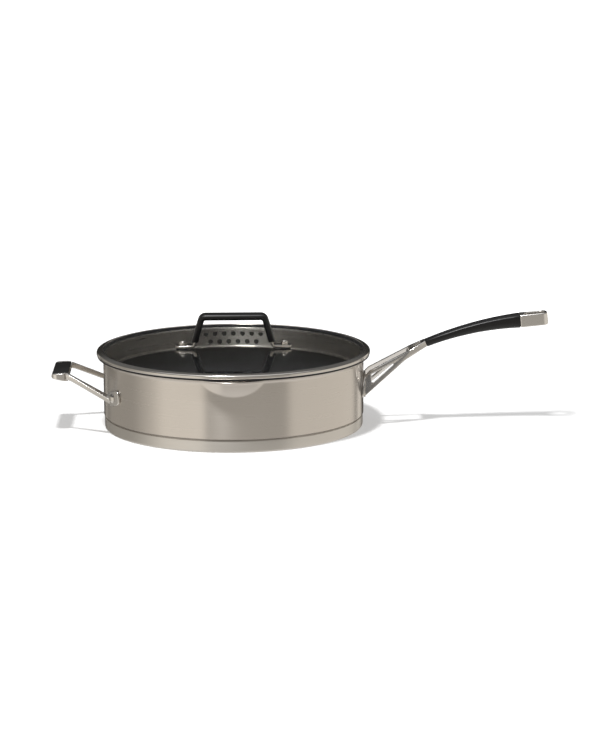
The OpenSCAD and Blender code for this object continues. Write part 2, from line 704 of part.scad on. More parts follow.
pan_body();
base_core();
base_cap();
handle_fork();
handle_grip();
handle_loop();
loop_screw();
fork_rivets();
helper_handle();
helper_pad();
helper_rivets();
lid_rim();
lid_seal();
lid_glass();
handle_strap();
handle_sleeve();
lid_bolts();
foot_gaskets();
under_gaskets();
lid_washers();
lid_nuts();
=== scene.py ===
"""The looks of a saute pan with a straining lid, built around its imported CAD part."""
from math import asin, atan2, cos, pi, radians, sin, sqrt, tan

import bmesh
import bpy
from mathutils import Matrix, Vector
from mathutils.bvhtree import BVHTree


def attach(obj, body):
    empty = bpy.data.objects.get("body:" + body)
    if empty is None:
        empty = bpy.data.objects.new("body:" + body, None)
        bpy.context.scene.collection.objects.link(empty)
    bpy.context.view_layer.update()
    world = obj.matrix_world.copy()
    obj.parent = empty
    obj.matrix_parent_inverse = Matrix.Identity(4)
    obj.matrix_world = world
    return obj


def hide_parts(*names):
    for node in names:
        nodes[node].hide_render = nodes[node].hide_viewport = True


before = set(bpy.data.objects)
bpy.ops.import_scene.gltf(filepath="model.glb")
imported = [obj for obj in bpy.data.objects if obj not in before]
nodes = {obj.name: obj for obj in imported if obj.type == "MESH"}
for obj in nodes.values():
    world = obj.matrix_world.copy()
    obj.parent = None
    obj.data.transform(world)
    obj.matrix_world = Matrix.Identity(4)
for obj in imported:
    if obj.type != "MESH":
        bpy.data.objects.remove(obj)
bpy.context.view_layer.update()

# Camera. The photograph was taken with a long lens from straight in front, a little above
# the lid, and turned by a hair. Its place is in metres and its angles are in degrees.
LENS = 125.42
CAMERA_PLACE = (0, -2.7624, 0.6219)
CAMERA_TURN, CAMERA_TILT, CAMERA_ROLL = -1.485, 90 - 11.632, -0.132

camera = bpy.data.objects.new("camera", bpy.data.cameras.new("camera"))
camera.data.lens = LENS
bpy.context.collection.objects.link(camera)
bpy.context.scene.camera = camera
camera.matrix_world = (
    Matrix.Translation(CAMERA_PLACE)
    @ Matrix.Rotation(radians(CAMERA_TURN), 4, "Z")
    @ Matrix.Rotation(radians(CAMERA_TILT), 4, "X")
    @ Matrix.Rotation(radians(CAMERA_ROLL), 4, "Z")
)

# Pan. A pressed stainless steel body, brushed round its wall, with a rolled lip that two
# spouts push outwards. Inside it has a dark non-stick coating. Sizes are in millimetres.
WALL_R, WALL_T = 140, 1
INNER_R = WALL_R - WALL_T
FLOOR_Z, FLOOR_BEND = 6, 6
STEP_R, STEP_Z, STEP_RISE = 138.2, 12.9, 1.8  # where the wall widens above the base
STEP_SHIFT = 0.5                              # how much higher the step lies inside
LIP_R, LIP_Z, LIP_EDGE = 145, 77, 0.45
BEND_Z, BEND_R = 72, 4                        # where the lip starts to bend outwards
PAN_SIDES = 720

# A ball presses each spout. Its middle stands inside the wall and above the lip.
SPOUT_MID, BALL_Z, BALL_R = 83.6, 87.2, 63
BALL_LEAN = radians(13.11)                    # of the spout's skin at the lip's bend
SPOUT_LOW, SPOUT_HALF, SPOUT_BLEND = 54, radians(36), 0.5
SPOUT_DIP, DIP_PUSH = 1, 4.5                  # the lip sinks fully where it is pushed this far


def rounded(corners):
    """The path through corners (x, y, radius), each turned with its own radius."""
    steps = 8
    path = []
    for i, (x, y, radius) in enumerate(corners):
        here = Vector((x, y))
        if radius == 0:
            path.append(here)
            continue
        back = (Vector(corners[i - 1][:2]) - here).normalized()
        on = (Vector(corners[(i + 1) % len(corners)][:2]) - here).normalized()
        half = back.angle(on) / 2
        middle = here + (back + on).normalized() * radius / sin(half)
        first = here + back * radius / tan(half) - middle
        sweep = (pi - 2 * half) * (-1 if back.cross(on) < 0 else 1)
        for k in range(steps + 1):
            path.append(middle + Matrix.Rotation(-sweep * k / steps, 2) @ first)
    return path


def spun(path, steps):
    """A round piece: a path of (radius, height) points, turned about the Z axis. A path that
    starts on the axis ends there too, and any other is closed to a ring."""
    bm = bmesh.new()
    verts = [bm.verts.new((r, 0, z)) for r, z in path]
    edges = [bm.edges.new(pair) for pair in zip(verts, verts[1:])]
    if path[0][0] > 0:
        edges.append(bm.edges.new((verts[-1], verts[0])))
    bmesh.ops.spin(bm, geom=verts + edges, cent=(0, 0, 0), axis=(0, 0, 1), angle=2 * pi,
                   steps=steps, use_merge=True)
    bmesh.ops.remove_doubles(bm, verts=bm.verts, dist=0.002)
    bmesh.ops.recalc_face_normals(bm, faces=bm.faces)
    return bm


def finished(bm, name, body, slot, finishes, *stands_for):
    """Turns millimetres to metres and makes the mesh a piece that rides on a body."""
    bmesh.ops.scale(bm, vec=(0.001, 0.001, 0.001), verts=bm.verts)
    mesh = bpy.data.meshes.new(name)
    bm.to_mesh(mesh)
    bm.free()
    mesh.shade_smooth()
    mesh.set_sharp_from_angle(angle=radians(35))
    for finish in finishes:
        mesh.materials.append(finish)
    piece = bpy.data.objects.new(name, mesh)
    bpy.context.collection.objects.link(piece)
    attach(piece, body)
    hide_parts(*stands_for)


def colour(hex_code):
    """An sRGB colour such as "b8b2aa" as the linear values that Blender works in."""
    parts = [int(hex_code[i:i + 2], 16) / 255 for i in (0, 2, 4)]
    return [p / 12.92 if p <= 0.04045 else ((p + 0.055) / 1.055) ** 2.4 for p in parts] + [1]


def blank(name):
    """A material without nodes."""
    material = bpy.data.materials.new(name)
    material.use_nodes = True
    material.node_tree.nodes.clear()
    return material


def add(material, kind, inputs=(), **settings):
    """Adds a shader node. Inputs are set to a value, or linked where they are a socket."""
    tree = material.node_tree
    node = tree.nodes.new(kind)
    for name, value in settings.items():
        setattr(node, name, value)
    for name, value in dict(inputs).items():
        if isinstance(value, bpy.types.NodeSocket):
            tree.links.new(value, node.inputs[name])
        else:
            node.inputs[name].default_value = value
    return node


def round_brushing(material, per_mm, along):
    """The grey of lines that run round the Z axis, on walls and on floors alike: so many to
    the millimetre, and broken up so many times in each metre along them."""
    where = add(material, "ShaderNodeTexCoord").outputs["Object"]
    apart = add(material, "ShaderNodeSeparateXYZ", {"Vector": where})
    flat = add(material, "ShaderNodeCombineXYZ", {
        "X": apart.outputs["X"], "Y": apart.outputs["Y"]})
    radius = add(material, "ShaderNodeVectorMath", {0: flat.outputs[0]}, operation="LENGTH")
    across = add(material, "ShaderNodeMath", {
        0: radius.outputs["Value"], 1: apart.outputs["Z"]}, operation="ADD")
    spread = add(material, "ShaderNodeCombineXYZ", {
        "X": apart.outputs["X"], "Y": apart.outputs["Y"], "Z": across.outputs[0]})
    scaled = add(material, "ShaderNodeMapping", {
        "Vector": spread.outputs[0], "Scale": (along, along, 1000 * per_mm)})
    lines = add(material, "ShaderNodeTexNoise", {
        "Vector": scaled.outputs[0], "Scale": 1.0, "Detail": 3.0, "Roughness": 0.6})
    return lines.outputs["Fac"]


# Stainless steel brushed round the wall with a fine belt. It blurs reflections upwards and
# hardly sideways, so the wall shows upright bands. Its lines are drawn 1 mm wide to show.
brushed_steel = blank("brushed_stainless_steel")
lines = round_brushing(brushed_steel, 1, 14)
grain = add(brushed_steel, "ShaderNodeMapRange", {
    "Value": lines, "From Min": 0.3, "From Max": 0.7, "To Min": 0.27, "To Max": 0.3})
tone = add(brushed_steel, "ShaderNodeMix", {
    "Factor": lines, "A": colour("cbc5be"), "B": colour("d0cac3")}, data_type="RGBA")
relief = add(brushed_steel, "ShaderNodeBump", {
    "Height": lines, "Strength": 0.01, "Distance": 0.0001})
steel = add(brushed_steel, "ShaderNodeBsdfPrincipled", {
    "Base Color": tone.outputs["Result"], "Metallic": 1.0,
    "Roughness": grain.outputs["Result"], "Anisotropic": 0.95, "Anisotropic Rotation": 0.25,
    "Normal": relief.outputs["Normal"],
    "Tangent": add(brushed_steel, "ShaderNodeTangent", axis="Z").outputs["Tangent"]})
add(brushed_steel, "ShaderNodeOutputMaterial", {"Surface": steel.outputs["BSDF"]})

# A sprayed PTFE coating, baked on: dark, with a soft sheen and a fine grain of flecks, which
# are drawn about 1 mm wide to show.
non_stick = blank("baked_non_stick_coating")
where = add(non_stick, "ShaderNodeTexCoord").outputs["Object"]
flecks = add(non_stick, "ShaderNodeTexNoise", {"Vector": where, "Scale": 900.0, "Detail": 2.0})
tone = add(non_stick, "ShaderNodeMix", {
    "Factor": flecks.outputs["Fac"], "A": colour("17181a"), "B": colour("232427")},
    data_type="RGBA")
relief = add(non_stick, "ShaderNodeBump", {
    "Height": flecks.outputs["Fac"], "Strength": 0.2, "Distance": 0.0002})
coat = add(non_stick, "ShaderNodeBsdfPrincipled", {
    "Base Color": tone.outputs["Result"], "Roughness": 0.42, "IOR": 1.38,
    "Normal": relief.outputs["Normal"]})
add(non_stick, "ShaderNodeOutputMaterial", {"Surface": coat.outputs["BSDF"]})


def flare(z, bend, lean):
    """How far the lip's bend has carried a skin outwards at the height z."""
    turn = asin(max(sin(lean), min(1, (z - BEND_Z) / bend)))
    return bend * (cos(lean) - cos(turn))


def ball_skin(z, radius, bend):
    """Radius of a spout's ball at the height z, with its part of the lip."""
    level = min(z, BEND_Z + bend * sin(BALL_LEAN))
    return sqrt(radius ** 2 - (BALL_Z - level) ** 2) + flare(z, bend, BALL_LEAN)


def press_spout(point):
    """Moves a point of the wall outwards to where the spout's ball pushes it."""
    away = atan2(point.x, abs(point.y))
    if point.z < SPOUT_LOW or abs(away) > SPOUT_HALF:
        return
    r = point.xy.length
    skins = []
    for depth in (0, WALL_T):
        bend = BEND_R + depth
        skins.append((WALL_R - depth + flare(point.z, bend, 0),
                      ball_skin(point.z, BALL_R - depth, bend)))
    wall, ball = min(skins, key=lambda skin: abs(skin[0] - r))
    reach = SPOUT_MID * cos(away) + sqrt(max(0, ball ** 2 - (SPOUT_MID * sin(away)) ** 2))
    blend = max(0, SPOUT_BLEND - abs(wall - reach)) ** 2 / (4 * SPOUT_BLEND)
    pushed = max(wall, reach) + blend
    point.xy *= (pushed + r - wall) / r
    if point.z > BEND_Z:
        risen = (point.z - BEND_Z) / (LIP_Z - BEND_Z)
        point.z -= SPOUT_DIP * min(1, (pushed - wall) / DIP_PUSH) * risen


# The sheet's outer and inner outline, from the middle of the floor to the edge of the lip. A
# path's first or last corner that is cut off only gives the lip its direction.
wall_heights = [20, 30, 40, 50] + [SPOUT_LOW + 0.6 * i for i in range(30)]
outer = rounded([(0, FLOOR_Z, 0), (STEP_R, FLOOR_Z, FLOOR_BEND), (STEP_R, STEP_Z, 0),
                 (WALL_R, STEP_Z + STEP_RISE, 0)])
outer += [Vector((WALL_R, z)) for z in wall_heights]
outer += rounded([(WALL_R, BEND_Z - 1, 0), (WALL_R, LIP_Z - WALL_T, BEND_R),
                  (LIP_R, LIP_Z - WALL_T, LIP_EDGE), (LIP_R, LIP_Z, LIP_EDGE),
                  (WALL_R, LIP_Z, 0)])[1:-1]
inner = rounded([(0, FLOOR_Z + WALL_T, 0),
                 (STEP_R - WALL_T, FLOOR_Z + WALL_T, FLOOR_BEND - WALL_T),
                 (STEP_R - WALL_T, STEP_Z + STEP_SHIFT, 0),
                 (INNER_R, STEP_Z + STEP_RISE + STEP_SHIFT, 0)])
inner += [Vector((INNER_R, z)) for z in wall_heights]
inner += rounded([(INNER_R, BEND_Z - 1, 0), (INNER_R, LIP_Z, BEND_R + WALL_T),
                  (LIP_R, LIP_Z, 0)])[1:-1]
bm = spun(outer + list(reversed(inner)), PAN_SIDES)
for vert in bm.verts:
    press_spout(vert.co)
for face in bm.faces:
    middle = face.calc_center_median()
    faces_axis = face.normal.xy.dot(middle.xy) < -0.02 * middle.xy.length
    if FLOOR_Z + WALL_T / 2 < middle.z < BEND_Z and (faces_axis or face.normal.z > 0.9):
        face.material_index = 1
finished(bm, "pan", "pan", "pan_steel", [brushed_steel, non_stick], "pan_body")

# Base. An aluminium disc spreads the heat between the pan's floor and a steel cap, which is
# pressed over it and brazed, with a thin shadow groove under the wall.
CAP_R, CAP_TOP, CAP_T = 139.2, 12.3, 0.8
CAP_BEND, CAP_EDGE = 2.5, 0.3
CAP_SIDES = 360

# Stainless steel turned on a lathe: duller and paler than the wall, with fine rings, which
# are drawn 0.7 mm wide to show.
cap_steel = blank("turned_stainless_steel")
lines = round_brushing(cap_steel, 1.4, 6)
grain = add(cap_steel, "ShaderNodeMapRange", {
    "Value": lines, "From Min": 0.3, "From Max": 0.7, "To Min": 0.36, "To Max": 0.44})
relief = add(cap_steel, "ShaderNodeBump", {
    "Height": lines, "Strength": 0.08, "Distance": 0.0001})
steel = add(cap_steel, "ShaderNodeBsdfPrincipled", {
    "Base Color": colour("d2cec8"), "Metallic": 1.0, "Roughness": grain.outputs["Result"],
    "Anisotropic": 0.8, "Anisotropic Rotation": 0.25, "Normal": relief.outputs["Normal"],
    "Tangent": add(cap_steel, "ShaderNodeTangent", axis="Z").outputs["Tangent"]})
add(cap_steel, "ShaderNodeOutputMaterial", {"Surface": steel.outputs["BSDF"]})

bm = spun(rounded([(0, 0, 0), (CAP_R, 0, CAP_BEND), (CAP_R, CAP_TOP, CAP_EDGE),
                   (CAP_R - CAP_T, CAP_TOP, CAP_EDGE), (CAP_R - CAP_T, CAP_T, CAP_BEND - CAP_T),
                   (0, CAP_T, 0)]), CAP_SIDES)
finished(bm, "base_shell", "pan", "pan_steel", [cap_steel], "base_cap")

# Rolled aluminium: pale and half dull, with clouds about 3 mm wide.
aluminium = blank("rolled_aluminium")
where = add(aluminium, "ShaderNodeTexCoord").outputs["Object"]
cloud = add(aluminium, "ShaderNodeTexNoise", {"Vector": where, "Scale": 300.0})
grain = add(aluminium, "ShaderNodeMapRange", {
    "Value": cloud.outputs["Fac"], "To Min": 0.4, "To Max": 0.55})
metal = add(aluminium, "ShaderNodeBsdfPrincipled", {
    "Base Color": colour("d2d3d4"), "Metallic": 1.0, "Roughness": grain.outputs["Result"]})
add(aluminium, "ShaderNodeOutputMaterial", {"Surface": metal.outputs["BSDF"]})


def dress(node, finish):
    """Gives a CAD node that stays as it is a finish."""
    for place in nodes[node].material_slots:
        place.material = finish


dress("base_core", aluminium)

# Long handle. A stainless steel casting with two windowed arms and a flange, riveted to the
# wall. It is tumbled after casting, which rounds its edges.
FORK_EDGE = 0.8

# Tumbled stainless steel: soft reflections, a little cloudy, with pores that are drawn about
# 1 mm wide to show.
cast_steel = blank("cast_stainless_steel")
where = add(cast_steel, "ShaderNodeTexCoord").outputs["Object"]
pores = add(cast_steel, "ShaderNodeTexNoise", {"Vector": where, "Scale": 1200.0, "Detail": 4.0})
cloud = add(cast_steel, "ShaderNodeTexNoise", {"Vector": where, "Scale": 90.0, "Detail": 2.0})
grain = add(cast_steel, "ShaderNodeMapRange", {
    "Value": cloud.outputs["Fac"], "From Min": 0.3, "From Max": 0.7,
    "To Min": 0.2, "To Max": 0.27})
relief = add(cast_steel, "ShaderNodeBump", {
    "Height": pores.outputs["Fac"], "Strength": 0.15, "Distance": 0.0001})
steel = add(cast_steel, "ShaderNodeBsdfPrincipled", {
    "Base Color": colour("d6d3cf"), "Metallic": 1.0, "Roughness": grain.outputs["Result"],
    "Normal": relief.outputs["Normal"]})
add(cast_steel, "ShaderNodeOutputMaterial", {"Surface": steel.outputs["BSDF"]})


def cad_copy(node):
    """A CAD node's mesh in millimetres, with its loose triangles merged into whole faces."""
    bm = bmesh.new()
    bm.from_mesh(nodes[node].data)
    bmesh.ops.scale(bm, vec=(1000, 1000, 1000), verts=bm.verts)
    bmesh.ops.remove_doubles(bm, verts=bm.verts, dist=0.005)
    bmesh.ops.dissolve_limit(bm, angle_limit=radians(1), verts=bm.verts, edges=bm.edges)
    return bm


def soften(bm, radius, segments=2):
    """Rounds every edge that turns by more than 25 degrees."""
    edges = [e for e in bm.edges if e.is_manifold and e.calc_face_angle() > radians(25)]
    bmesh.ops.bevel(bm, geom=edges, offset=radius, affect="EDGES", segments=segments,
                    profile=0.5, material=-1, clamp_overlap=False)


bm = cad_copy("handle_fork")
soften(bm, FORK_EDGE)
finished(bm, "fork", "pan", "cast_steel", [cast_steel], "handle_fork")

# Fork rivets. Two rivets of stainless steel with domed heads outside and low conical heads
# inside. They are set cold through flange and wall, and polished.
HEAD_R, HEAD_H, SHANK_R = 5.2, 3, 2.5
BACK_R, BACK_TIP_R, BACK_H = 6.2, 3.5, 1.6
FOOT_T, RIVET_GAP = 2.5, 0.02                 # thickness of a foot, room at the inner head
FORK_RIVET_Y, FORK_RIVET_Z = 7.8, 44.75

# Polished stainless steel: sharp reflections under a haze of wiped patches, 6 mm wide.
polished_steel = blank("polished_stainless_steel")
where = add(polished_steel, "ShaderNodeTexCoord").outputs["Object"]
haze = add(polished_steel, "ShaderNodeTexNoise", {
    "Vector": where, "Scale": 160.0, "Detail": 3.0})
grain = add(polished_steel, "ShaderNodeMapRange", {
    "Value": haze.outputs["Fac"], "From Min": 0.3, "From Max": 0.7,
    "To Min": 0.12, "To Max": 0.18})
steel = add(polished_steel, "ShaderNodeBsdfPrincipled", {
    "Base Color": colour("c4c0ba"), "Metallic": 1.0, "Roughness": grain.outputs["Result"]})
add(polished_steel, "ShaderNodeOutputMaterial", {"Surface": steel.outputs["BSDF"]})


def dome(radius, height, base):
    """The arc of a domed head from its middle to its edge."""
    steps = 8
    ball = (radius ** 2 + height ** 2) / (2 * height)
    spread = atan2(radius, ball - height)
    turns = [spread * i / steps for i in range(steps + 1)]
    return [(ball * sin(turn), base + height - ball + ball * cos(turn)) for turn in turns]


def rivet(angle, z):
    """A rivet through wall and foot that points outwards, at an angle round the pan."""
    seat = sqrt(INNER_R ** 2 - BACK_R ** 2) - RIVET_GAP
    grip = WALL_R + FOOT_T - seat
    bm = spun(dome(HEAD_R, HEAD_H, grip) + [(SHANK_R, grip), (SHANK_R, 0), (BACK_R, 0),
                                            (BACK_TIP_R, -BACK_H), (0, -BACK_H)], 48)
    bmesh.ops.translate(bm, vec=(0, 0, seat), verts=bm.verts)
    outwards = Matrix.Rotation(angle, 4, "Z") @ Matrix.Rotation(radians(90), 4, "Y")
    bmesh.ops.transform(bm, matrix=Matrix.Translation((0, 0, z)) @ outwards, verts=bm.verts)
    return bm


def joined(parts):
    """Several meshes as one."""
    whole = bmesh.new()
    for part in parts:
        mesh = bpy.data.meshes.new("part")
        part.to_mesh(mesh)
        part.free()
        whole.from_mesh(mesh)
        bpy.data.meshes.remove(mesh)
    return whole


bm = joined([rivet(side * asin(FORK_RIVET_Y / WALL_R), FORK_RIVET_Z) for side in (-1, 1)])
finished(bm, "fork_rivet_pair", "pan", "fastener", [polished_steel], "fork_rivets")

# Grip. A curved sleeve of black phenolic resin, moulded round the fork's tang, with a soft
# crease along each side.
GRIP_EDGE = 0.6

# Moulded phenolic resin: near black, and dulled a little by the mould's fine texture, which
# is drawn 0.7 mm wide.
black_resin = blank("moulded_black_phenolic")
where = add(black_resin, "ShaderNodeTexCoord").outputs["Object"]
texture = add(black_resin, "ShaderNodeTexNoise", {
    "Vector": where, "Scale": 1400.0, "Detail": 3.0})
relief = add(black_resin, "ShaderNodeBump", {
    "Height": texture.outputs["Fac"], "Strength": 0.2, "Distance": 0.0001})
tone = add(black_resin, "ShaderNodeMix", {
    "Factor": texture.outputs["Fac"], "A": colour("090909"), "B": colour("101011")},
    data_type="RGBA")
resin = add(black_resin, "ShaderNodeBsdfPrincipled", {
    "Base Color": tone.outputs["Result"], "Roughness": 0.36, "IOR": 1.45,
    "Normal": relief.outputs["Normal"]})
add(black_resin, "ShaderNodeOutputMaterial", {"Surface": resin.outputs["BSDF"]})

bm = cad_copy("handle_grip")
soften(bm, GRIP_EDGE)
finished(bm, "grip", "pan", "grip", [black_resin], "handle_grip")

# Loop. A cast steel eye behind the grip, with well-rounded edges, which a screw holds to the
# tang. Its slot hangs the pan up.
LOOP_EDGE = 1.4
bm = cad_copy("handle_loop")
soften(bm, LOOP_EDGE, segments=4)
finished(bm, "loop", "pan", "cast_steel", [cast_steel], "handle_loop")
dress("loop_screw", polished_steel)

# Helper handle. A second casting with two riveted feet and leaning arms, and a black resin
# pad let into the top of its bar. Its rivets are like the fork's.
HELPER_EDGE, PAD_EDGE = 0.8, 0.5
HELPER_RIVET_TURN, HELPER_RIVET_Z = 25.5, 42  # degrees to either side, height

bm = cad_copy("helper_handle")
bar_face = min(vert.co.x for vert in bm.verts)
soften(bm, HELPER_EDGE, segments=3)
for vert in bm.verts:
    vert.co.x = max(vert.co.x, bar_face)
finished(bm, "helper_casting", "pan", "cast_steel", [cast_steel], "helper_handle")
bm = cad_copy("helper_pad")
soften(bm, PAD_EDGE)
finished(bm, "helper_grip_pad", "pan", "grip", [black_resin], "helper_pad")
bm = joined([rivet(radians(180 + side * HELPER_RIVET_TURN), HELPER_RIVET_Z) for side in (-1, 1)])
finished(bm, "helper_rivet_pair", "pan", "fastener", [polished_steel], "helper_rivets")

# Lid rim. A stainless steel channel rolled round the glass, whose skirt hangs into the pan
# and strains through two rows of holes at each spout. The skirt and the hem keep the
# sheet's brushing, and the rest is buffed.
RIM_T, SKIRT_R, SKIRT_LOW, SKIRT_EDGE_R = 0.8, 137.5, 56.4, 135.2
SHELF_Z, STEP_OUT_R, BEAD_LOW, BEAD_R = 77.7, 144.9, 79, 146.6
BEAD_TOP, HEM_TOP, HEM_LOW, HEM_R = 82.1, 83.9, 82.2, 140.4
HOLE_R, HOLE_PITCH, HOLES_IN_ROWS = 2.8, 10.4, (7, 6)
TOP_ROW_Z, ROW_GAP = 71, 9
PUNCH_H = 6

# Stainless steel buffed round the rim: bright, with rings that are drawn 0.6 mm wide.
rim_steel = blank("buffed_stainless_steel")
lines = round_brushing(rim_steel, 1.8, 8)
grain = add(rim_steel, "ShaderNodeMapRange", {
    "Value": lines, "From Min": 0.3, "From Max": 0.7, "To Min": 0.14, "To Max": 0.2})
steel = add(rim_steel, "ShaderNodeBsdfPrincipled", {
    "Base Color": colour("c6c2bc"), "Metallic": 1.0, "Roughness": grain.outputs["Result"]})
add(rim_steel, "ShaderNodeOutputMaterial", {"Surface": steel.outputs["BSDF"]})


def band(path, thickness):
    """The closed outline of a sheet of one thickness that is bent along a path."""
    sides = ([], [])
    for i, here in enumerate(path):
        back = here - path[i - 1] if i else path[1] - path[0]
        on = path[i + 1] - here if i + 1 < len(path) else back
        along = back.normalized() + on.normalized()
        across = Vector((-along.y, along.x)) / (1 + back.normalized().dot(on.normalized()))
        sides[0].append(here + across * thickness / 2)
        sides[1].append(here - across * thickness / 2)
    return sides[0] + list(reversed(sides[1]))


def punched(bm, punches):
    """A mesh with holes through it, where the punches are."""
    things = []
    for name, shape in (("sheet", bm), ("punches", joined(punches))):
        mesh = bpy.data.meshes.new(name)
        shape.to_mesh(mesh)
        shape.free()
        things.append(bpy.data.objects.new(name, mesh))
        bpy.context.collection.objects.link(things[-1])
    sheet, tool = things
    cut = sheet.modifiers.new("holes", "BOOLEAN")
    cut.operation = "DIFFERENCE"
    cut.solver = "EXACT"
    cut.object = tool
    seen = sheet.evaluated_get(bpy.context.evaluated_depsgraph_get())
    done = bpy.data.meshes.new_from_object(seen)
    bm = bmesh.new()
    bm.from_mesh(done)
    for mesh in (done, sheet.data, tool.data):
        bpy.data.meshes.remove(mesh)
    return bm


# From the hem over the outer bead to the step for the seal's foot, whose dark band also stands
# in for the shade under the rim, the shelf that lies on the pan's lip, the skirt and its edge,
# which is turned in.
rim_path = rounded([
    (HEM_R, HEM_LOW, 0), (HEM_R, HEM_TOP, 1.1),
    (BEAD_R, BEAD_TOP, 1.4), (BEAD_R, BEAD_LOW, 1.1),
    (STEP_OUT_R, BEAD_LOW, 0.45), (STEP_OUT_R, SHELF_Z, 0.45),
    (SKIRT_R, SHELF_Z, 1), (SKIRT_R, SKIRT_LOW, 2.2), (SKIRT_EDGE_R, SKIRT_LOW, 0)])
bm = spun(band(rim_path, RIM_T), 360)
punches = []
for side in (-90, 90):
    for row, count in enumerate(HOLES_IN_ROWS):
        for i in range(count):
            along = (i - (count - 1) / 2) * HOLE_PITCH / (SKIRT_R + RIM_T / 2)
            place = (Matrix.Rotation(radians(side) + along, 4, "Z")
                     @ Matrix.Translation((SKIRT_R, 0, TOP_ROW_Z - ROW_GAP * row))
                     @ Matrix.Rotation(radians(90), 4, "Y"))
            punches.append(bmesh.new())
            bmesh.ops.create_cone(punches[-1], cap_ends=True, segments=32, radius1=HOLE_R,
                                  radius2=HOLE_R, depth=PUNCH_H, matrix=place)
bm = punched(bm, punches)
for face in bm.faces:
    middle = face.calc_center_median()
    on_skirt = middle.z < SHELF_Z - 1.7
    on_hem = middle.z > HEM_LOW + 0.3 and middle.xy.length < HEM_R + RIM_T
    if on_skirt or on_hem:
        face.material_index = 1
finished(bm, "lid_channel", "lid", "lid_steel", [rim_steel, brushed_steel], "lid_rim")

# Seal. A ring of dark silicone, whose round cord grips the glass all round inside the
# channel. Its lip closes the hem. Its foot is a dark band under the rim, which also stands in
# for the painted shade in the gap between the rim and the pan's lip.
SEAL_R, SEAL_Z, CORD_R, CORD_SIDES = 144.9, 79.8, 1, 24
LIP_BAND_R, LIP_BAND_TOP = 140.3, 83.4
FOOT_SHADE_R, FOOT_SHADE_OUT_R, FOOT_SHADE_LOW, FOOT_SHADE_TOP, FOOT_SHADE_EDGE = 145.35, 146.3, 77.2, 78.55, 0.2

# Silicone rubber: near black, soft and dull, with a bloom in clouds 2 mm wide.
silicone = blank("dark_silicone_rubber")
where = add(silicone, "ShaderNodeTexCoord").outputs["Object"]
bloom = add(silicone, "ShaderNodeTexNoise", {"Vector": where, "Scale": 500.0, "Detail": 2.0})
tone = add(silicone, "ShaderNodeMix", {
    "Factor": bloom.outputs["Fac"], "A": colour("1c1c1e"), "B": colour("262628")},
    data_type="RGBA")
rubber = add(silicone, "ShaderNodeBsdfPrincipled", {
    "Base Color": tone.outputs["Result"], "Roughness": 0.55, "IOR": 1.41})
add(silicone, "ShaderNodeOutputMaterial", {"Surface": rubber.outputs["BSDF"]})

cord = []
for i in range(CORD_SIDES):
    turn = 2 * pi * i / CORD_SIDES
    cord.append((SEAL_R + CORD_R * cos(turn), SEAL_Z + CORD_R * sin(turn)))
lip = [(LIP_BAND_R - 0.6, LIP_BAND_TOP - 1.95), (LIP_BAND_R, LIP_BAND_TOP - 2),
       (LIP_BAND_R, LIP_BAND_TOP), (LIP_BAND_R - 0.4, LIP_BAND_TOP)]
# The foot is a dark silicone band under the rim's bead, and it is also painted shade: it darkens
# the gap above the pan's lip.
foot_and_gap_shade = rounded([(FOOT_SHADE_R, FOOT_SHADE_LOW, FOOT_SHADE_EDGE), (FOOT_SHADE_OUT_R, FOOT_SHADE_LOW, FOOT_SHADE_EDGE),
                (FOOT_SHADE_OUT_R, FOOT_SHADE_TOP, 0), (FOOT_SHADE_R, FOOT_SHADE_TOP, 0)])
bm = joined([spun(path, 256) for path in (cord, lip, foot_and_gap_shade)])
finished(bm, "seal_ring", "seal", "silicone", [silicone], "lid_seal")

# Glass. A low dome of clear tempered soda-lime glass with ground edges. It lies in the seal,
# and the lid handle's bolts go through it.
GLASS_R, GLASS_T, GLASS_EDGE, GLASS_RINGS = 143.6, 3, 0.7, 24
GLASS_TOP, GLASS_RISE = 83.6, 2.3

# Clear glass: colourless, smooth, and wiped in patches about 30 mm wide. It lets the lamp's
# light through, so that the pan below it isn't dark.
clear_glass = blank("tempered_soda_lime_glass")
where = add(clear_glass, "ShaderNodeTexCoord").outputs["Object"]
haze = add(clear_glass, "ShaderNodeTexNoise", {"Vector": where, "Scale": 30.0})
smooth = add(clear_glass, "ShaderNodeMapRange", {
    "Value": haze.outputs["Fac"], "To Min": 0.0, "To Max": 0.02})
glass = add(clear_glass, "ShaderNodeBsdfPrincipled", {
    "Base Color": colour("f9faf9"), "Transmission Weight": 1.0, "IOR": 1.5,
    "Roughness": smooth.outputs["Result"]})
light = add(clear_glass, "ShaderNodeLightPath")
see_through = add(clear_glass, "ShaderNodeBsdfTransparent", {"Color": colour("f2f4f3")})
either = add(clear_glass, "ShaderNodeMixShader", {
    0: light.outputs["Is Shadow Ray"], 1: glass.outputs["BSDF"], 2: see_through.outputs["BSDF"]})
add(clear_glass, "ShaderNodeOutputMaterial", {"Surface": either.outputs["Shader"]})

upper = []
for i in range(GLASS_RINGS + 1):
    r = GLASS_R * i / GLASS_RINGS
    edge = GLASS_EDGE if i == GLASS_RINGS else 0
    upper.append((r, GLASS_TOP - GLASS_RISE * (r / GLASS_R) ** 2, edge))
lower = [(r, z - GLASS_T, edge) for r, z, edge in reversed(upper)]
bm = spun(rounded(upper + lower), 256)
finished(bm, "lid_pane", "lid", "glass", [clear_glass], "lid_glass")

# Lid handle. A strap of polished stainless steel, bent over the glass, whose two feet lie on
# silicone gaskets.
STRAP_EDGE = 0.4
bm = cad_copy("handle_strap")
soften(bm, STRAP_EDGE)
finished(bm, "handle_band", "lid", "lid_steel", [polished_steel], "handle_strap")
dress("foot_gaskets", silicone)
dress("under_gaskets", silicone)

# Sleeve. Black resin moulded round the strap, so that the handle stays cool. It is a little
# thicker than in CAD, and thickest on the outer sides of the legs, towards their lower ends.
SLEEVE_EDGE, SLEEVE_TOP = 0.5, 121.4
SWELL, LEG_SWELL = 0.5, 1.5
LEG_TOP, LEG_H = 116, 18                      # where a leg starts to swell, and over what height
ON_STRAP = 0.7                                # the sleeve's inner faces lie within this

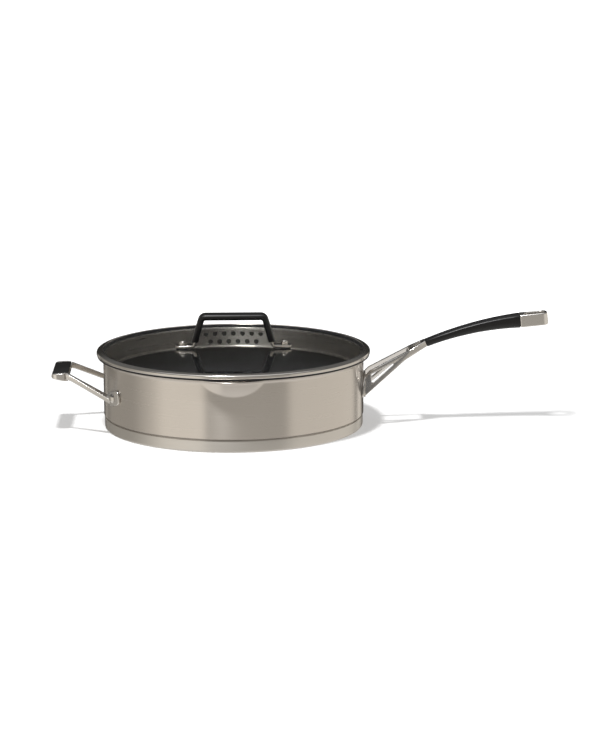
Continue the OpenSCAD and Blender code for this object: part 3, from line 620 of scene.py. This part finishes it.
bm = cad_copy("handle_sleeve")
bm.normal_update()
strap = cad_copy("handle_strap")
strap_tree = BVHTree.FromBMesh(strap)
strap.free()
for vert in bm.verts:
    if strap_tree.find_nearest(vert.co)[3] > ON_STRAP:
        down = max(0, min(1, (LEG_TOP - vert.co.z) / LEG_H))
        outer_side = vert.normal.x * (1 if vert.co.x > 0 else -1) > 0.3
        vert.co += vert.normal * (SWELL + (LEG_SWELL * down if outer_side else 0))
        vert.co.z = min(vert.co.z, SLEEVE_TOP)
soften(bm, SLEEVE_EDGE)
finished(bm, "handle_cover", "lid", "grip", [black_resin], "handle_sleeve")

# Lid bolts. Two polished steel bolts hold the strap's feet to the glass, with washers and
# nuts below. Their heads are squarer than in CAD: each ring of the crown is widened.
BOLT_R, CROWN, SQUARENESS = 3.75, 2.25, 0.35
bm = cad_copy("lid_bolts")
crown_low = max(vert.co.z for vert in bm.verts) - CROWN + 0.05
right = [vert.co.x for vert in bm.verts if vert.co.x > 0]
bolt_x = (min(right) + max(right)) / 2
for vert in bm.verts:
    axis = Vector((bolt_x if vert.co.x > 0 else -bolt_x, 0))
    arm = vert.co.xy - axis
    if vert.co.z > crown_low and arm.length > 0.1:
        widened = BOLT_R * min(1, arm.length / BOLT_R) ** SQUARENESS
        vert.co.xy = axis + arm.normalized() * widened
finished(bm, "bolt_pair", "lid", "fastener", [polished_steel], "lid_bolts")
dress("lid_washers", polished_steel)
dress("lid_nuts", polished_steel)

# Floor. A plain white table top that keeps the object's shadow. Further out it glows in the
# camera's sight, so that it runs into the white background. Studio sizes are in metres.
FLOOR_R = 12


def staged(bm, name, material):
    """Makes an object of a mesh with one material, for the studio round the object; it rides on
    no body.
    """
    mesh = bpy.data.meshes.new(name)
    bm.to_mesh(mesh)
    bm.free()
    mesh.materials.append(material)
    thing = bpy.data.objects.new(name, mesh)
    bpy.context.collection.objects.link(thing)
    return thing


white_floor = blank("painted_white_floor")
rays = add(white_floor, "ShaderNodeLightPath")
where = add(white_floor, "ShaderNodeTexCoord").outputs["Object"]
reach = add(white_floor, "ShaderNodeVectorMath", {0: where}, operation="LENGTH")
fade = add(white_floor, "ShaderNodeMapRange", {
    "Value": reach.outputs["Value"], "From Min": 0.4, "From Max": 0.75,
    "To Min": 0.24, "To Max": 1.0})
seen = add(white_floor, "ShaderNodeMath", {
    0: rays.outputs["Is Camera Ray"], 1: rays.outputs["Is Transmission Ray"]},
    operation="MAXIMUM")
glow = add(white_floor, "ShaderNodeMath", {
    0: seen.outputs[0], 1: fade.outputs[0]}, operation="MULTIPLY")
paint = add(white_floor, "ShaderNodeBsdfPrincipled", {
    "Base Color": (0.8, 0.8, 0.8, 1), "Roughness": 1.0, "Specular IOR Level": 0.0,
    "Emission Color": (1, 1, 1, 1), "Emission Strength": glow.outputs[0]})
add(white_floor, "ShaderNodeOutputMaterial", {"Surface": paint.outputs["BSDF"]})

bm = bmesh.new()
bmesh.ops.create_circle(bm, cap_ends=True, segments=96, radius=FLOOR_R)
staged(bm, "floor", white_floor).visible_glossy = False

# The room that the metal mirrors: warm cards and dark cloths round the table, by the angle at
# which they stand, between a pale table top and a white ceiling.
ROOM_R = 3.6
CARDS = [(0.0, 0.03), (0.065, 0.03), (0.075, 0.7), (0.095, 0.15), (0.12, 0.4), (0.23, 0.42),
         (0.29, 0.72), (0.325, 1.0), (0.424, 1.0), (0.437, 0.45), (0.625, 0.46), (0.645, 0.8),
         (0.862, 0.84), (0.875, 0.03), (0.893, 0.9), (0.915, 0.9), (0.93, 0.03), (1.0, 0.03)]

room_light = blank("room_seen_in_metal")
where = add(room_light, "ShaderNodeTexCoord").outputs["Object"]
apart = add(room_light, "ShaderNodeSeparateXYZ", {"Vector": where})
front = add(room_light, "ShaderNodeMath", {0: apart.outputs["Y"], 1: -1.0},
            operation="MULTIPLY")
azimuth = add(room_light, "ShaderNodeMath", {0: apart.outputs["X"], 1: front.outputs[0]},
              operation="ARCTAN2")
turn = add(room_light, "ShaderNodeMapRange", {
    "Value": azimuth.outputs[0], "From Min": -pi, "From Max": pi, "To Min": 0.0, "To Max": 1.0})
cards = add(room_light, "ShaderNodeValToRGB", {"Fac": turn.outputs[0]})
while len(cards.color_ramp.elements) < len(CARDS):
    cards.color_ramp.elements.new(0.5)
for stop, (place, grey) in zip(cards.color_ramp.elements, CARDS):
    stop.position = place
    stop.color = (grey, grey, grey, 1)
warm = add(room_light, "ShaderNodeMix", {
    "Factor": 1.0, "A": cards.outputs["Color"], "B": (1.0, 0.95, 0.87, 1)},
    data_type="RGBA", blend_type="MULTIPLY")
upper = add(room_light, "ShaderNodeMapRange", {
    "Value": apart.outputs["Z"], "From Min": 0.9, "From Max": 1.5, "To Min": 0.0, "To Max": 1.0})
dim = add(room_light, "ShaderNodeMix", {
    "Factor": upper.outputs[0], "A": warm.outputs["Result"], "B": (0.16, 0.16, 0.16, 1)},
    data_type="RGBA")
below = add(room_light, "ShaderNodeMapRange", {
    "Value": apart.outputs["Z"], "From Min": -2.3, "From Max": -1.8,
    "To Min": 0.0, "To Max": 1.0})
low = add(room_light, "ShaderNodeMix", {
    "Factor": below.outputs[0], "A": (0.9, 0.88, 0.85, 1), "B": dim.outputs["Result"]},
    data_type="RGBA")
above = add(room_light, "ShaderNodeMapRange", {
    "Value": apart.outputs["Z"], "From Min": 2.8, "From Max": 3.1, "To Min": 0.0, "To Max": 1.0})
high = add(room_light, "ShaderNodeMix", {
    "Factor": above.outputs[0], "A": low.outputs["Result"], "B": (1, 1, 1, 1)},
    data_type="RGBA")
shine = add(room_light, "ShaderNodeEmission", {
    "Color": high.outputs["Result"], "Strength": 1.05})
rays = add(room_light, "ShaderNodeLightPath")
bounced = add(room_light, "ShaderNodeMath", {0: rays.outputs["Glossy Depth"], 1: 0.5},
              operation="GREATER_THAN")
clear = add(room_light, "ShaderNodeBsdfTransparent")
either = add(room_light, "ShaderNodeMixShader", {
    0: bounced.outputs[0], 1: clear.outputs[0], 2: shine.outputs[0]})
add(room_light, "ShaderNodeOutputMaterial", {"Surface": either.outputs["Shader"]})

bm = bmesh.new()
bmesh.ops.create_uvsphere(bm, u_segments=64, v_segments=32, radius=ROOM_R)
room = staged(bm, "room", room_light)
room.visible_camera = room.visible_diffuse = room.visible_shadow = False

# Daylight. An even white sky that is half as strong as the white background it shows as.
world = bpy.data.worlds.new("world")
world.use_nodes = True
bpy.context.scene.world = world
world.node_tree.nodes.clear()
rays = add(world, "ShaderNodeLightPath")
seen = add(world, "ShaderNodeMath", {
    0: rays.outputs["Is Camera Ray"], 1: rays.outputs["Is Glossy Ray"]}, operation="MAXIMUM")
seen = add(world, "ShaderNodeMath", {
    0: seen.outputs[0], 1: rays.outputs["Is Transmission Ray"]}, operation="MAXIMUM")
level = add(world, "ShaderNodeMapRange", {
    "Value": seen.outputs[0], "To Min": 0.5, "To Max": 1.0})
sky = add(world, "ShaderNodeBackground", {"Color": (1, 1, 1, 1), "Strength": level.outputs[0]})
add(world, "ShaderNodeOutputWorld", {"Surface": sky.outputs[0]})

# Key lamp. One round lamp high above the table, a little to the front and to the left, which
# casts the shadow.
LAMP_AWAY, LAMP_SIZE, LAMP_WATTS = 2.2, 0.24, 37
to_lamp = Vector((-0.12, -0.3, 0.95)).normalized()

key = bpy.data.objects.new("key", bpy.data.lights.new("key", "AREA"))
key.data.shape = "DISK"
key.data.size = LAMP_SIZE
key.data.energy = LAMP_WATTS
facing = to_lamp.to_track_quat("Z", "Y").to_matrix().to_4x4()
key.matrix_world = Matrix.Translation(to_lamp * LAMP_AWAY) @ facing
bpy.context.collection.objects.link(key)

bpy.context.scene.view_settings.view_transform = "Standard"
